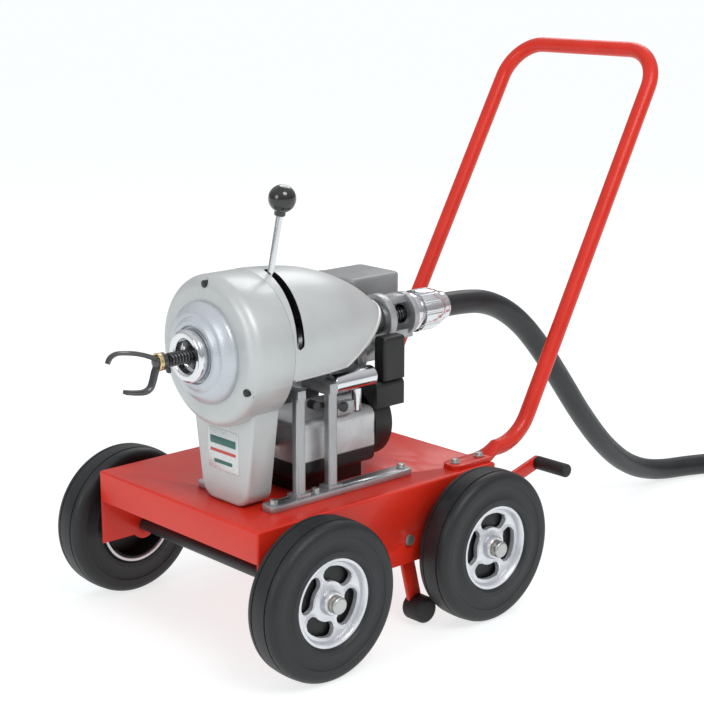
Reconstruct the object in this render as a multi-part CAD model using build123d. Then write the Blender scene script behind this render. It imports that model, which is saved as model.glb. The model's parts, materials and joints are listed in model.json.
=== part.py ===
"""Drain snake machine: a sectional drain cleaner with a small petrol engine on a four-wheel push cart.

Millimetres. +X is the way the spiral leaves the machine, +Y the machine's left, +Z up.
The origin is on the floor, under the middle of the cart and machine without its guide hose.
Everything is drawn in the cart's own frame, with x = 0 midway between the axles, and moved once on export.
"""
from build123d import *
import math
import os

# ---------------------------------------------------------------- driving dimensions: cart
wheel_dia = 250.0
wheel_width = 60.0
wheelbase = 348.0
track = 498.0
axle_dia = 20.0
running_gap = 0.05
rim_radius = 66.0
rim_lip = 3.0
rim_lip_rise = 2.5
hub_radius = 19.0
hub_reach = 30.0
web_back = 5.0
web_face = 17.0
web_skin = 3.0
bush_wall = 2.5
deck_length = 508.0
deck_width = 405.0
deck_top = 236.0
deck_ahead = 4.0
sheet = 3.0
front_skirt = 51.0
side_skirt = 125.0
axle_lobe = 24.0
# ---------------------------------------------------------------- driving dimensions: handle
handle_tube = 27.0
handle_wall = 2.0
handle_top = 885.0
handle_foot_half = 175.0
handle_top_half = 170.0
handle_lean = 358.0
handle_bend = 85.0
handle_corner = 70.0
handle_heel = 82.0
tongue_width = 36.0
tongue_thick = 7.0
tongue_length = 98.0
bolt_dia = 8.0
# ---------------------------------------------------------------- driving dimensions: machine
machine_y = 62.0
spindle_z = 477.0
crank_z = 318.0
flange_front = 262.0
bell_front = 238.0
leg_front = 208.0
cover_back = 162.0
bell_radius = 116.0
flange_radius = 78.0
leg_top_half = 76.0
leg_foot_half = 53.0
casting_wall = 5.0
screw_head = 11.0
joint_gap = 0.4
hood_rear = -97.0
hood_tail_gap = 1.0
hood_mouth = 44.0
hood_hem = 36.0
spindle_bore = 36.0
spindle_dia = 48.0
spindle_rear = -118.0
chuck_wall = 14.0
bearing_dia = 78.0
bearing_width = 16.0
spiral_dia = 22.0
driven_radius = 70.0
drive_radius = 27.0
belt_width = 13.0
pulley_width = 22.0
lever_angle = 76.0
lever_travel = 64.0
lever_pitch = 0.24
lever_x = 134.0
lever_rod = 10.0
knob_dia = 42.0
knob_reach = 233.0
slot_width = 15.0
jaw_stroke = 2.5
# ---------------------------------------------------------------- driving dimensions: stand and hose
stand_x = -50.0
stand_z = 150.0
stand_y = 188.0
stand_reach = 151.0
stand_angle = 14.0
stand_bar = 6.0
pedal_x = -368.0
pedal_z = 208.0
pedal_grip = 66.0
hose_dia = 41.0
coil_radius = 240.0

half_base = wheelbase / 2
hood_end_drop = bell_radius - casting_wall - spindle_dia / 2 - hood_tail_gap
chuck_bore = spindle_dia / 2 + 2
chuck_radius = chuck_bore + chuck_wall
axle_z = wheel_dia / 2
half_track = track / 2
deck_front = deck_ahead + deck_length / 2
deck_rear = deck_ahead - deck_length / 2
half_deck = deck_width / 2
under_deck = deck_top - sheet
cutter_hub = flange_front + 56.0
cutter_tip = cutter_hub + 98.0
handle_heel_x = deck_rear - handle_heel
handle_top_x = handle_heel_x - handle_lean
origin_x = (cutter_tip + handle_top_x - handle_tube / 2) / 2

os.makedirs("parts", exist_ok=True)


def save(name, *solids):
    """Write one sub-part, moved from the cart's frame to the part's."""
    shape = solids[0] if len(solids) == 1 else Compound(children=list(solids))
    export_step(Pos(-origin_x, 0, 0) * shape, f"parts/{name}.step")


def rod_x(radius, x0, x1, y, z):
    """A cylinder along X."""
    return Pos((x0 + x1) / 2, y, z) * Rot(0, 90, 0) * Cylinder(radius, abs(x1 - x0))


def rod_y(radius, y0, y1, x, z):
    """A cylinder along Y."""
    return Pos(x, (y0 + y1) / 2, z) * Rot(90, 0, 0) * Cylinder(radius, abs(y1 - y0))


def rod_z(radius, z0, z1, x, y):
    """A cylinder along Z."""
    return Pos(x, y, (z0 + z1) / 2) * Cylinder(radius, abs(z1 - z0))


def block(x0, x1, y0, y1, z0, z1):
    """A box between two corners."""
    return Pos((x0 + x1) / 2, (y0 + y1) / 2, (z0 + z1) / 2) * Box(abs(x1 - x0), abs(y1 - y0), abs(z1 - z0))


def on_spindle(shape):
    """Move a shape drawn about the X axis onto the spindle line."""
    return Pos(0, machine_y, spindle_z) * shape


def turned(points):
    """Revolve an outline of (x, r) points about the X axis."""
    outline = Polyline(*[(x, r) for x, r in points], close=True)
    return revolve(make_face(outline), Axis.X)


def hex_bolt(x, y, z):
    """A hex head with washer standing on a face at z, and its shank below."""
    washer = rod_z(bolt_dia, z, z + 1.6, x, y)
    head = Pos(x, y, z + 1.6) * extrude(RegularPolygon(bolt_dia * 0.8, 6), 5.3)
    shank = rod_z(bolt_dia / 2 - 0.2, z - 16, z, x, y)
    return washer + head + shank


# ---------------------------------------------------------------- wheels
def tyre():
    """A solid rubber tyre about the Y axis, its outer face towards +Y."""
    half = wheel_width / 2
    crown = wheel_dia / 2
    shoulder = 13.0
    seat = half - rim_lip - 1.0
    bend = shoulder * math.sin(math.radians(45))
    outline = [
        Line((rim_radius, -seat), (rim_radius + 3.3, -seat)),
        Line((rim_radius + 3.3, -seat), (rim_radius + 7, -half)),
        Line((rim_radius + 7, -half), (crown - shoulder, -half)),
        ThreePointArc(
            (crown - shoulder, -half),
            (crown - shoulder + bend, -half + shoulder - bend),
            (crown, -half + shoulder),
        ),
        Line((crown, -half + shoulder), (crown, half - shoulder)),
        ThreePointArc(
            (crown, half - shoulder),
            (crown - shoulder + bend, half - shoulder + bend),
            (crown - shoulder, half),
        ),
        Line((crown - shoulder, half), (rim_radius + 7, half)),
        Line((rim_radius + 7, half), (rim_radius + 3.3, seat)),
        Line((rim_radius + 3.3, seat), (rim_radius, seat)),
        Line((rim_radius, seat), (rim_radius, -seat)),
    ]
    body = revolve(make_face(Wire(outline)), Axis.Y)
    for side in (-1, 1):
        groove = rod_y(crown + 1, -1.5, 1.5, 0, 0) - rod_y(crown - 2.5, -1.5, 1.5, 0, 0)
        body -= Pos(0, side * (half - shoulder - 3), 0) * groove
    return body


def rim(phase):
    """A cast rim about the Y axis, its web with four kidney pockets and a closed back."""
    seat = wheel_width / 2 - rim_lip - 1.0
    lip = rim_radius + rim_lip_rise
    barrel = rod_y(rim_radius, -seat, seat, 0, 0) - rod_y(rim_radius - 5, -seat, seat, 0, 0)
    for side in (-1, 1):
        edge = rod_y(lip, side * seat, side * (seat + rim_lip), 0, 0)
        barrel += edge - rod_y(rim_radius - 4, side * seat, side * (seat + rim_lip), 0, 0)
    web = rod_y(rim_radius - 4.5, web_back, web_face, 0, 0)
    for k in range(4):
        window = SlotArc(CenterArc((0, 0), 43, phase + 90 * k - 22, 44), 24)
        web -= Pos(0, web_back + web_skin, 0) * extrude(Plane.XZ * window, -30)
    hub = rod_y(hub_radius, -hub_reach - 3, hub_reach, 0, 0)
    bore = rod_y(axle_dia / 2 + running_gap + bush_wall, -hub_reach - 4, hub_reach + 1, 0, 0)
    return barrel + web + hub - bore


def bush():
    """The plain bush pressed into a rim, running on the axle."""
    inside = axle_dia / 2 + running_gap
    length = (-hub_reach - 3, hub_reach)
    return rod_y(inside + bush_wall, *length, 0, 0) - rod_y(inside, *length, 0, 0)


corners = {
    "front_left": (half_base, 1, 26.0),
    "front_right": (half_base, -1, 26.0),
    "rear_left": (-half_base, 1, 9.0),
    "rear_right": (-half_base, -1, 9.0),
}
for corner, (x, side, phase) in corners.items():
    place = Pos(x, side * half_track, axle_z) * Rot(0, 0, 0 if side > 0 else 180)
    save(f"tyre_{corner}", place * tyre())
    save(f"rim_{corner}", place * rim(phase))
    save(f"bush_{corner}", place * bush())

hub_inner = half_track - hub_reach - 3
hub_outer = half_track + hub_reach
axle_end = hub_outer + 7.0
save("axles", *[rod_y(axle_dia / 2, -axle_end, axle_end, x, axle_z) for x in (half_base, -half_base)])
spacers = []
caps = []
for x in (half_base, -half_base):
    for side in (-1, 1):
        sleeve = rod_y(16, side * half_deck, side * (hub_inner - joint_gap), x, axle_z)
        spacers.append(sleeve - rod_y(axle_dia / 2, -half_track, half_track, x, axle_z))
        dome = rod_y(13.5, side * (hub_outer + joint_gap), side * (axle_end + 4), x, axle_z)
        dome = fillet(dome.edges().group_by(Axis.Y)[-1 if side > 0 else 0], 4)
        caps.append(dome - rod_y(axle_dia / 2, -axle_end, axle_end, x, axle_z))
save("axle_spacers", *spacers)
save("axle_caps", *caps)

# ---------------------------------------------------------------- deck and handle
rail_x = (-105.0, 190.0)
rail_y = (machine_y - 79, machine_y + 79)
rail_half = 15.0
rail_thick = 10.0
rail_bolts = [(x, y) for x in (176.0, 92.0, -92.0) for y in rail_y]
tongue_bolts = [(deck_rear + x, side * handle_foot_half) for x in (12.0, 68.0) for side in (-1, 1)]
skirt_low = deck_top - side_skirt
inner = half_deck - sheet
notch_half = 9.0


def deck_tray():
    """The folded sheet deck: a top with a shallow skirt at each end and deep side skirts for the axles."""
    tray = block(deck_rear, deck_front, -half_deck, half_deck, skirt_low, deck_top)
    tray = fillet(tray.edges().filter_by(Axis.Z) + tray.edges().group_by(Axis.Z)[-1], 4)
    tray -= block(deck_rear + sheet, deck_front - sheet, -inner, inner, skirt_low - 1, under_deck)
    for end in (deck_rear, deck_front):
        tray -= block(end - sheet - 1, end + sheet + 1, -inner, inner, skirt_low - 1, deck_top - front_skirt)
    tray -= block(
        deck_rear - 1, deck_rear + sheet + 1, stand_y - notch_half, stand_y + notch_half,
        skirt_low, deck_top - 30,
    )
    for side in (-1, 1):
        for x in (half_base, -half_base):
            tray += rod_y(axle_lobe, side * inner, side * half_deck, x, axle_z)
    for x in (half_base, -half_base):
        tray -= rod_y(axle_dia / 2, -half_deck - 1, half_deck + 1, x, axle_z)
    tray -= rod_y(6, inner - 1, half_deck + 1, stand_x, stand_z)
    for x, y in rail_bolts + tongue_bolts:
        tray -= rod_z(bolt_dia / 2 + 0.2, under_deck - 1, deck_top + 1, x, y)
    return tray


def push_handle():
    """The bent tube handle with its two ends pressed flat on the deck."""
    low = deck_top + handle_tube / 2
    start = deck_rear - 26
    points = [
        (start, handle_foot_half, low),
        (handle_heel_x, handle_foot_half, low),
        (handle_top_x, handle_top_half, handle_top),
        (handle_top_x, -handle_top_half, handle_top),
        (handle_heel_x, -handle_foot_half, low),
        (start, -handle_foot_half, low),
    ]
    path = FilletPolyline(*points, radius=[handle_bend, handle_corner, handle_corner, handle_bend])
    section = Plane(path @ 0, z_dir=path % 0)
    tube = sweep(section * Circle(handle_tube / 2), path=path)
    tube -= sweep(section * Circle(handle_tube / 2 - handle_wall), path=path)
    for side in (-1, 1):
        y = side * handle_foot_half
        round_end = Plane((start, y, low), x_dir=(0, 1, 0), z_dir=(1, 0, 0)) * Circle(handle_tube / 2)
        flat_end = Plane((deck_rear, y, deck_top + tongue_thick / 2), x_dir=(0, 1, 0), z_dir=(1, 0, 0))
        tube += loft([round_end, flat_end * Rectangle(tongue_width, tongue_thick)])
        tongue = block(
            deck_rear, deck_rear + tongue_length - 14, y - tongue_width / 2, y + tongue_width / 2,
            deck_top, deck_top + tongue_thick,
        )
        tube += fillet(tongue.edges().filter_by(Axis.Z).group_by(Axis.X)[-1], 14)
    for x, y in tongue_bolts:
        tube -= rod_z(bolt_dia / 2 + 0.2, deck_top - 1, deck_top + tongue_thick + 1, x, y)
    return tube


save("deck_tray", deck_tray())
save("push_handle", push_handle())
bolts = [hex_bolt(x, y, deck_top + tongue_thick) for x, y in tongue_bolts]
bolts += [hex_bolt(x, y, deck_top + rail_thick) for x, y in rail_bolts]
save("deck_bolts", *bolts)

# ---------------------------------------------------------------- parking stand
swing = Pos(stand_x, 0, stand_z) * Rot(0, stand_angle, 0) * Pos(-stand_x, 0, -stand_z)
foot_radius = 22.0
foot_inward = 12.0
foot_outward = 28.0
foot_centre = stand_z - stand_reach + foot_radius


def bar_link(x0, z0, x1, z1, width, y=stand_y, thick=stand_bar):
    """A flat bar with round ends in the plane of the stand's lever, or in another."""
    length = math.hypot(x1 - x0, z1 - z0)
    angle = math.degrees(math.atan2(z1 - z0, x1 - x0))
    flat = Box(length, thick, width)
    flat = Pos((x0 + x1) / 2, y, (z0 + z1) / 2) * Rot(0, -angle, 0) * flat
    for x, z in ((x0, z0), (x1, z1)):
        flat += rod_y(width / 2, y - thick / 2, y + thick / 2, x, z)
    return flat


def stand_lever():
    """The cranked lever: a foot arm, a pedal arm over the rear axle and the rod that the pedal sleeve is on."""
    lever = swing * bar_link(stand_x, stand_z, stand_x, foot_centre + 8, 26)
    lever += bar_link(stand_x, stand_z, -half_base, stand_z + 32, 24)
    lever += bar_link(-half_base, stand_z + 32, deck_rear - 14, stand_z + 30, 22)
    lever += bar_link(deck_rear - 14, stand_z + 30, pedal_x, pedal_z, 22)
    lever += rod_y(5, stand_y, stand_y + pedal_grip, pedal_x, pedal_z)
    return lever - rod_y(6 + running_gap, stand_y - 9, stand_y + 9, stand_x, stand_z)


def stand_foot():
    """The rubber foot moulded on the end of the foot arm, a short round block across the lever."""
    foot = rod_y(foot_radius, stand_y - foot_inward, stand_y + foot_outward, stand_x, foot_centre)
    foot = fillet(foot.edges(), 7)
    arm = swing * bar_link(stand_x, stand_z, stand_x, foot_centre + 8, 26)
    return swing * foot - arm


def stand_pin():
    """The shouldered pivot pin, riveted in the left skirt."""
    pin = rod_y(6, stand_y - 6, half_deck + 1, stand_x, stand_z)
    pin += rod_y(9, stand_y + stand_bar / 2 + joint_gap, inner, stand_x, stand_z)
    pin += rod_y(9, half_deck, half_deck + 4, stand_x, stand_z)
    pin += rod_y(8.5, stand_y - 6, stand_y - stand_bar / 2 - joint_gap, stand_x, stand_z)
    return pin


save("stand_lever", stand_lever())
save("stand_foot", stand_foot())
save("stand_pin", stand_pin())
sleeve = rod_y(11.5, stand_y + stand_bar / 2, stand_y + pedal_grip + 4, pedal_x, pedal_z)
sleeve = fillet(sleeve.edges().group_by(Axis.Y)[-1], 4)
save("pedal_sleeve", sleeve - rod_y(5, stand_y, stand_y + pedal_grip, pedal_x, pedal_z))

# ---------------------------------------------------------------- front casting
leg_head = spindle_z - 40.0


def leg_profile(inset):
    """The belt cover's tapered leg, seen from the front, drawn inset by a wall."""
    lean = (leg_top_half - leg_foot_half) / (spindle_z - 88 - deck_top)
    low = deck_top + (inset if inset else 0)
    top_half = leg_foot_half + lean * (leg_head - deck_top) - inset
    low_half = leg_foot_half + lean * (low - deck_top) - inset
    corners = [
        (machine_y - top_half, leg_head), (machine_y - low_half, low),
        (machine_y + low_half, low), (machine_y + top_half, leg_head),
    ]
    return make_face(Polyline(*corners, close=True))


def leg_solid(inset, x0, x1):
    """The leg from x0 forward to x1 with rounded lower corners."""
    leg = extrude(Plane.YZ.offset(x0) * leg_profile(inset), x1 - x0)
    low_edges = leg.edges().filter_by(Axis.X).group_by(Axis.Z)[0]
    return fillet(low_edges, 30 - inset)


def screw_places():
    """Where the bell's three screws sit, on its face near the rim."""
    turns = [math.radians(angle) for angle in (90, 205, 335)]
    reach = bell_radius - 12
    return [(machine_y + reach * math.cos(a), spindle_z + reach * math.sin(a)) for a in turns]


def front_cover():
    """The keyhole-shaped belt cover: a round bell above a leg that stands on the deck."""
    bell = rod_x(bell_radius, cover_back, bell_front, machine_y, spindle_z)
    bell = fillet(bell.edges().group_by(Axis.X)[-1], 20)
    leg = leg_solid(0, cover_back, leg_front)
    leg = fillet(leg.faces().sort_by(Axis.X)[-1].edges(), 6)
    hollow = rod_x(bell_radius - casting_wall, cover_back - 1, bell_front - casting_wall, machine_y, spindle_z)
    hollow = fillet(hollow.edges().group_by(Axis.X)[-1], 15)
    inside = leg_solid(casting_wall, cover_back - 1, leg_front - casting_wall)
    cover = bell + leg - hollow - inside
    for y, z in screw_places():
        cover -= rod_x(screw_head / 2 + 0.2, bell_front - 6.2, bell_front + 2, y, z)
        cover += rod_x(screw_head / 2 + 4, bell_front - 14, bell_front - 6.2, y, z)
    return cover - rod_x(spindle_dia / 2 + 3, bell_front - 20, bell_front + 1, machine_y, spindle_z)


def front_flange():
    """The round flange on the bell, round the spindle nose."""
    return on_spindle(turned([
        (bell_front, chuck_bore), (bell_front, flange_radius), (bell_front + 15, flange_radius),
        (bell_front + 21, flange_radius - 3), (flange_front, flange_radius - 9),
        (flange_front, chuck_radius + 5), (flange_front - 4, chuck_radius + 2), (flange_front - 4, chuck_bore),
    ]))


def back_plate():
    """The sheet that closes the belt cover behind the pulleys."""
    plate = rod_x(bell_radius - casting_wall, cover_back - 4, cover_back, machine_y, spindle_z)
    plate += extrude(Plane.YZ.offset(cover_back - 4) * leg_profile(casting_wall), 4)
    plate -= block(cover_back - 5, cover_back + 1, machine_y - 100, machine_y + 100, 0, deck_top + 40)
    plate -= rod_x(46, cover_back - 5, cover_back + 1, machine_y, spindle_z)
    return plate - rod_x(16, cover_back - 5, cover_back + 1, machine_y, crank_z)


save("front_cover", front_cover())
save("front_flange", front_flange())
save("back_plate", back_plate())

# ---------------------------------------------------------------- hood over the spindle
def hood_profile(inset):
    """The hood's outline above the spindle line, drawn inset by a wall."""
    front = cover_back - joint_gap
    top = bell_radius - inset
    belly = [(front - 20, 0), (80, -5.5), (42, -13), (3, -26), (-38, -45), (-70, -65), (hood_rear, -hood_end_drop)]
    curve = Spline(*[(x, top + drop) for x, drop in belly], tangents=[(-1, 0), (-1, -0.9)])
    edges = [
        Line((front, top), (front - 20, top)),
        curve,
        Line((hood_rear, top - hood_end_drop), (hood_rear, 0)),
        Line((hood_rear, 0), (front, 0)),
        Line((front, 0), (front, top)),
    ]
    return make_face(Wire(edges))


def lever_slot():
    """The helical slot that the clutch lever swings in, as a band of overlapping blocks."""
    first = lever_angle + 7
    last = lever_angle - lever_travel - 7
    steps = 13
    band = None
    for k in range(steps + 1):
        angle = first + (last - first) * k / steps
        x = lever_x + (lever_angle - angle) * lever_pitch
        helix = math.degrees(math.atan(math.degrees(lever_pitch) / bell_radius))
        cutter = Pos(x, 0, bell_radius) * Rot(0, 0, helix) * Box(slot_width, 16, 40)
        cutter = Pos(0, machine_y, spindle_z) * Rot(angle - 90, 0, 0) * cutter
        band = cutter if band is None else band + cutter
    return band


def hood():
    """The tapered cast hood from the bell back to its oblique open end."""
    shell = revolve(hood_profile(0), Axis.X)
    core = revolve(hood_profile(casting_wall), Axis.X)
    shell = on_spindle(shell) - on_spindle(core)
    low = spindle_z - hood_hem
    below = [
        (cover_back + 10, low), (hood_mouth, low), (hood_rear - 10, low + 64),
        (hood_rear - 10, low - 200), (cover_back + 10, low - 200),
    ]
    prism = extrude(Plane.XZ * make_face(Polyline(*below, close=True)), 400, both=True)
    return shell - prism - lever_slot()


save("hood", hood())
screws = [rod_x(screw_head / 2, bell_front - 6, bell_front + 1.5, y, z) for y, z in screw_places()]
save("cover_screws", *screws)

# ---------------------------------------------------------------- spindle and its casting
front_ring_x = (96.0, 112.0)
rear_ring_x = (-62.0, -46.0)
beam_z = (396.0, 420.0)
post_x = (60.0, 125.0)
spindle_r = spindle_dia / 2
bearing_r = bearing_dia / 2


def main_casting():
    """The bearing frame: two rings on a beam, cross arms and four posts down to the rails."""
    frame = block(-70, cover_back - 4, machine_y - 20, machine_y + 20, *beam_z)
    frame += block(-122, -66, machine_y - 13, machine_y + 13, 412, 434)
    for x0, x1 in (front_ring_x, rear_ring_x):
        frame += block(x0 - 2, x1 + 2, machine_y - 28, machine_y + 28, beam_z[1] - 4, spindle_z - 30)
        frame += rod_x(bearing_r + 8, x0, x1, machine_y, spindle_z)
    for x0, x1 in (front_ring_x, rear_ring_x):
        frame -= rod_x(bearing_r, x0 - 3, x1 + 3, machine_y, spindle_z)
    for x in post_x:
        frame += block(x - 8, x + 8, rail_y[0] - 8, rail_y[1] + 8, 398, 414)
        for y in rail_y:
            post = block(x - 9, x + 9, y - 7, y + 7, deck_top + rail_thick, 402)
            frame += fillet(post.edges().filter_by(Axis.Z), 4)
            frame += block(x - 14, x + 14, y - 12, y + 12, deck_top + rail_thick, deck_top + rail_thick + 6)
    return frame


def bearing(x0, x1):
    """One sealed ball bearing: its races and its balls' cage as a ring."""
    outer = rod_x(bearing_r, x0, x1, machine_y, spindle_z)
    outer = outer - rod_x(spindle_r + running_gap, x0 - 1, x1 + 1, machine_y, spindle_z)
    groove = rod_x(bearing_r - 5, x0 - 1, x0 + 1, machine_y, spindle_z)
    groove -= rod_x(spindle_r + 5, x0 - 2, x0 + 2, machine_y, spindle_z)
    return outer - groove


save("main_casting", main_casting())
save("spindle_bearings", bearing(*front_ring_x), bearing(*rear_ring_x))
rails = []
for y in rail_y:
    rail = block(*rail_x, y - rail_half, y + rail_half, deck_top, deck_top + rail_thick)
    rail = fillet(rail.edges().filter_by(Axis.Z), 8)
    for x, bolt_y in rail_bolts:
        if bolt_y == y:
            rail -= rod_z(bolt_dia / 2 + 0.2, deck_top - 1, deck_top + rail_thick + 1, x, y)
    rails.append(rail)
save("base_rails", *rails)

chuck_front = flange_front + 16.0
spindle = rod_x(spindle_r, spindle_rear, flange_front - 1, machine_y, spindle_z)
spindle -= rod_x(spindle_bore / 2, spindle_rear - 1, flange_front + 1, machine_y, spindle_z)
save("spindle_tube", spindle)
ring = turned([
    (flange_front - 3, chuck_bore), (flange_front - 3, chuck_radius), (chuck_front - 4, chuck_radius),
    (chuck_front, chuck_radius - 4),
    (chuck_front, chuck_bore + 3), (chuck_front - 3, chuck_bore),
])
nose = turned([
    (flange_front - 1, spindle_bore / 2), (flange_front - 1, chuck_bore),
    (flange_front + 2, chuck_bore), (flange_front + 2, spindle_bore / 2),
])
save("chuck_ring", on_spindle(ring + nose))
for k in range(3):
    jaw = Pos(flange_front + 8.5, 0, 19) * Box(11, 11, 9)
    jaw -= rod_x(spiral_dia / 2 + jaw_stroke + 0.8, flange_front, chuck_front + 4, 0, 0)
    save(f"jaw_{k + 1}", on_spindle(Rot(120 * k, 0, 0) * jaw))


def grooved_pulley(radius, y, z, x0):
    """A pulley with one belt groove, its bore left to the caller."""
    groove_half = belt_width / 2 + 0.75
    middle = x0 + pulley_width / 2
    wheel = rod_x(radius, x0, x0 + pulley_width, y, z)
    cut = rod_x(radius + 1, middle - groove_half, middle + groove_half, y, z)
    return wheel - (cut - rod_x(radius - 10, middle - groove_half - 1, middle + groove_half + 1, y, z))


pulley_x = cover_back + 14.0
driven = grooved_pulley(driven_radius, machine_y, spindle_z, pulley_x)
for k in range(5):
    hole = Rot(72 * k, 0, 0) * rod_x(11, pulley_x - 1, pulley_x + pulley_width + 1, 0, 42)
    driven -= on_spindle(hole)
save("driven_pulley", driven - rod_x(spindle_r, pulley_x - 1, pulley_x + pulley_width + 1, machine_y, spindle_z))
crank = rod_x(10, 58, pulley_x + pulley_width + 3, machine_y, crank_z)
save("drive_pulley", grooved_pulley(drive_radius, machine_y, crank_z, pulley_x) + crank)


def belt():
    """The vee belt round both pulleys, clear of their grooves."""
    loops = []
    for grow in (-1.0, -9.5):
        big = Pos(machine_y, spindle_z) * Circle(driven_radius + grow)
        small = Pos(machine_y, crank_z) * Circle(drive_radius + grow)
        loops.append(make_hull(big.edges() + small.edges()))
    middle = pulley_x + pulley_width / 2
    return extrude(Plane.YZ.offset(middle - belt_width / 2) * (loops[0] - loops[1]), belt_width)


save("drive_belt", belt())

# ---------------------------------------------------------------- clutch lever
collar_r = 33.0
lever_half = 7.0
collar = on_spindle(turned([
    (lever_x - lever_half - 7, spindle_r + 0.5), (lever_x - lever_half - 7, collar_r + 5),
    (lever_x - lever_half - joint_gap, collar_r + 5), (lever_x - lever_half - joint_gap, collar_r),
    (lever_x + lever_half, collar_r), (lever_x + lever_half, spindle_r + 0.5),
]))
save("shift_collar", collar)
lever_ring = rod_x(collar_r + 9, lever_x - lever_half, lever_x + lever_half, 0, 0)
lever_ring -= rod_x(collar_r + running_gap, lever_x - lever_half - 1, lever_x + lever_half + 1, 0, 0)
stem = rod_z(lever_rod / 2, collar_r + 6, knob_reach, lever_x, 0)
stem += rod_z(lever_rod / 2 + 3, collar_r + 6, collar_r + 24, lever_x, 0)
at_lever = Pos(0, machine_y, spindle_z) * Rot(lever_angle - 90, 0, 0)
save("clutch_lever", at_lever * (lever_ring + stem))
knob = Pos(lever_x, 0, knob_reach) * Sphere(knob_dia / 2)
knob += rod_z(9, knob_reach - knob_dia / 2 - 5, knob_reach, lever_x, 0)
knob -= rod_z(lever_rod / 2, knob_reach - 60, knob_reach, lever_x, 0)
save("ball_knob", at_lever * knob)

# ---------------------------------------------------------------- engine
engine_y = machine_y
case_y = (engine_y - 60, engine_y + 60)
case_x = (-50.0, 112.0)
case = block(*case_x, *case_y, 262, 352)
case = fillet(case.edges().filter_by(Axis.X), 14)
case = fillet(case.edges().group_by(Axis.X)[-1], 5)
case += block(-40, 96, engine_y - 40, engine_y + 40, deck_top, 264)
case -= rod_x(10 + running_gap, 57, 113, engine_y, crank_z)
for x in (-28, 70):
    case += rod_x(9, x - 12, x + 12, engine_y + 44, deck_top + 40)
save("crankcase", case)

barrel_y = (case_y[0] - 96, case_y[0])
barrel_x, barrel_z = -4.0, 322.0
barrel = rod_y(30, *barrel_y, barrel_x, barrel_z)
fin_count = 8
for k in range(fin_count):
    y = barrel_y[0] + 14 + k * 10
    fin = block(barrel_x - 42, barrel_x + 42, y, y + 3.5, barrel_z - 40, barrel_z + 40)
    barrel += fillet(fin.edges().filter_by(Axis.Y), 14)
head = block(barrel_x - 44, barrel_x + 44, barrel_y[0] - 16, barrel_y[0] + 6, barrel_z - 42, barrel_z + 42)
barrel += fillet(head.edges().filter_by(Axis.Y), 12)
save("cylinder", barrel)
plug_end = barrel_y[0] - 16
plug = rod_y(8, plug_end - 16, plug_end, barrel_x + 14, barrel_z)
plug += rod_y(11, plug_end - 44, plug_end - 14, barrel_x + 14, barrel_z)
plug += rod_x(5.5, barrel_x + 12, barrel_x + 42, plug_end - 34, barrel_z)
save("spark_plug_cap", plug)

shroud_x = (-112.0, case_x[0] - 2.0)
shroud_y = (engine_y - 100, engine_y + 64)
shroud_top = 392.0
fan_radius = 62.0
fan_x = (shroud_x[0] + 24, shroud_x[1])
shroud = block(*shroud_x, *shroud_y, crank_z + 30, shroud_top)
shroud += rod_x(fan_radius, *fan_x, engine_y, crank_z)
shroud = fillet(shroud.edges().filter_by(Axis.X).group_by(Axis.Z)[-1], 12)
shroud -= rod_x(fan_radius - 4, fan_x[0] + 4, fan_x[1] + 1, engine_y, crank_z)
save("fan_shroud", shroud)
starter_base = fan_x[0]
starter = Pos(starter_base - 11, engine_y, crank_z - 20) * Rot(0, -90, 0) * Cone(41, 33, 22)
starter = fillet(starter.edges().group_by(Axis.X)[0], 6)
for k in range(8):
    slot = Pos(0, 0, 24) * Box(40, 5, 12)
    starter -= Pos(starter_base - 34, engine_y, crank_z - 20) * Rot(45 * k, 0, 0) * slot
save("starter_cover", starter)
grip = block(shroud_x[0] - 14, shroud_x[0], engine_y - 70, engine_y - 26, 356, 370)
grip = fillet(grip.edges(), 5)
save("starter_grip", grip)

tank_x = (-218.0, -104.0)
tank_y = (-92.0, 8.0)
tank_z = (456.0, 533.0)
shelf_y = -140.0
shelf_z = 500.0
cap_x, cap_y = -160.0, -116.5
tank = block(*tank_x, *tank_y, *tank_z)
tank = fillet(tank.edges().filter_by(Axis.Z), 12)
tank = fillet(tank.edges().group_by(Axis.Z)[-1], 6)
shelf = block(tank_x[0] + 10, tank_x[1] - 10, shelf_y, tank_y[0] + 14, tank_z[0], shelf_z)
tank += fillet(shelf.edges().filter_by(Axis.Z).group_by(Axis.Y)[0], 12)
tank += rod_z(18, shelf_z, shelf_z + 6, cap_x, cap_y)
tank += block(shroud_x[0] + 2, shroud_x[0] + 26, shroud_y[0] + 8, tank_y[1] - 16, shroud_top, tank_z[0] + 2)
save("fuel_tank", tank)
cap_low = shelf_z + 6 + joint_gap
cap = rod_z(22, cap_low, cap_low + 15, cap_x, cap_y)
cap = fillet(cap.edges().group_by(Axis.Z)[-1], 4)
for k in range(8):
    cap -= Pos(cap_x, cap_y, cap_low + 12) * Rot(0, 0, 45 * k) * Pos(24, 0, 0) * Cylinder(5, 30)
save("fuel_cap", cap)

muffler_z = 404.0
muffler = rod_x(17, shroud_x[1] + 4, 42, engine_y + 56, muffler_z)
muffler = fillet(muffler.edges(), 5)
muffler += rod_z(9, 352, muffler_z, -20, engine_y + 50)
save("muffler", muffler)
filter_box = block(shroud_x[0], -64, engine_y + 42, engine_y + 68, shroud_top, 462)
filter_box = fillet(filter_box.edges().filter_by(Axis.Z) + filter_box.edges().group_by(Axis.Z)[-1], 6)
save("air_filter_box", filter_box)
carb = block(-4, 30, engine_y + 30, engine_y + 62, 352, 372)
carb += rod_x(9, -6, 36, engine_y + 46, 374)
carb += rod_z(8, 372, 383, 10, engine_y + 40)
save("carburettor", carb)
throttle_y = engine_y + 63
throttle = rod_y(8, throttle_y, throttle_y + 4, 20, 366)
throttle += Pos(54, throttle_y + 2, 374.5) * Rot(0, -14, 0) * Box(70, 4, 8)
throttle += rod_y(7, throttle_y, throttle_y + 16, 88, 383)
save("throttle_lever", throttle)

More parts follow.
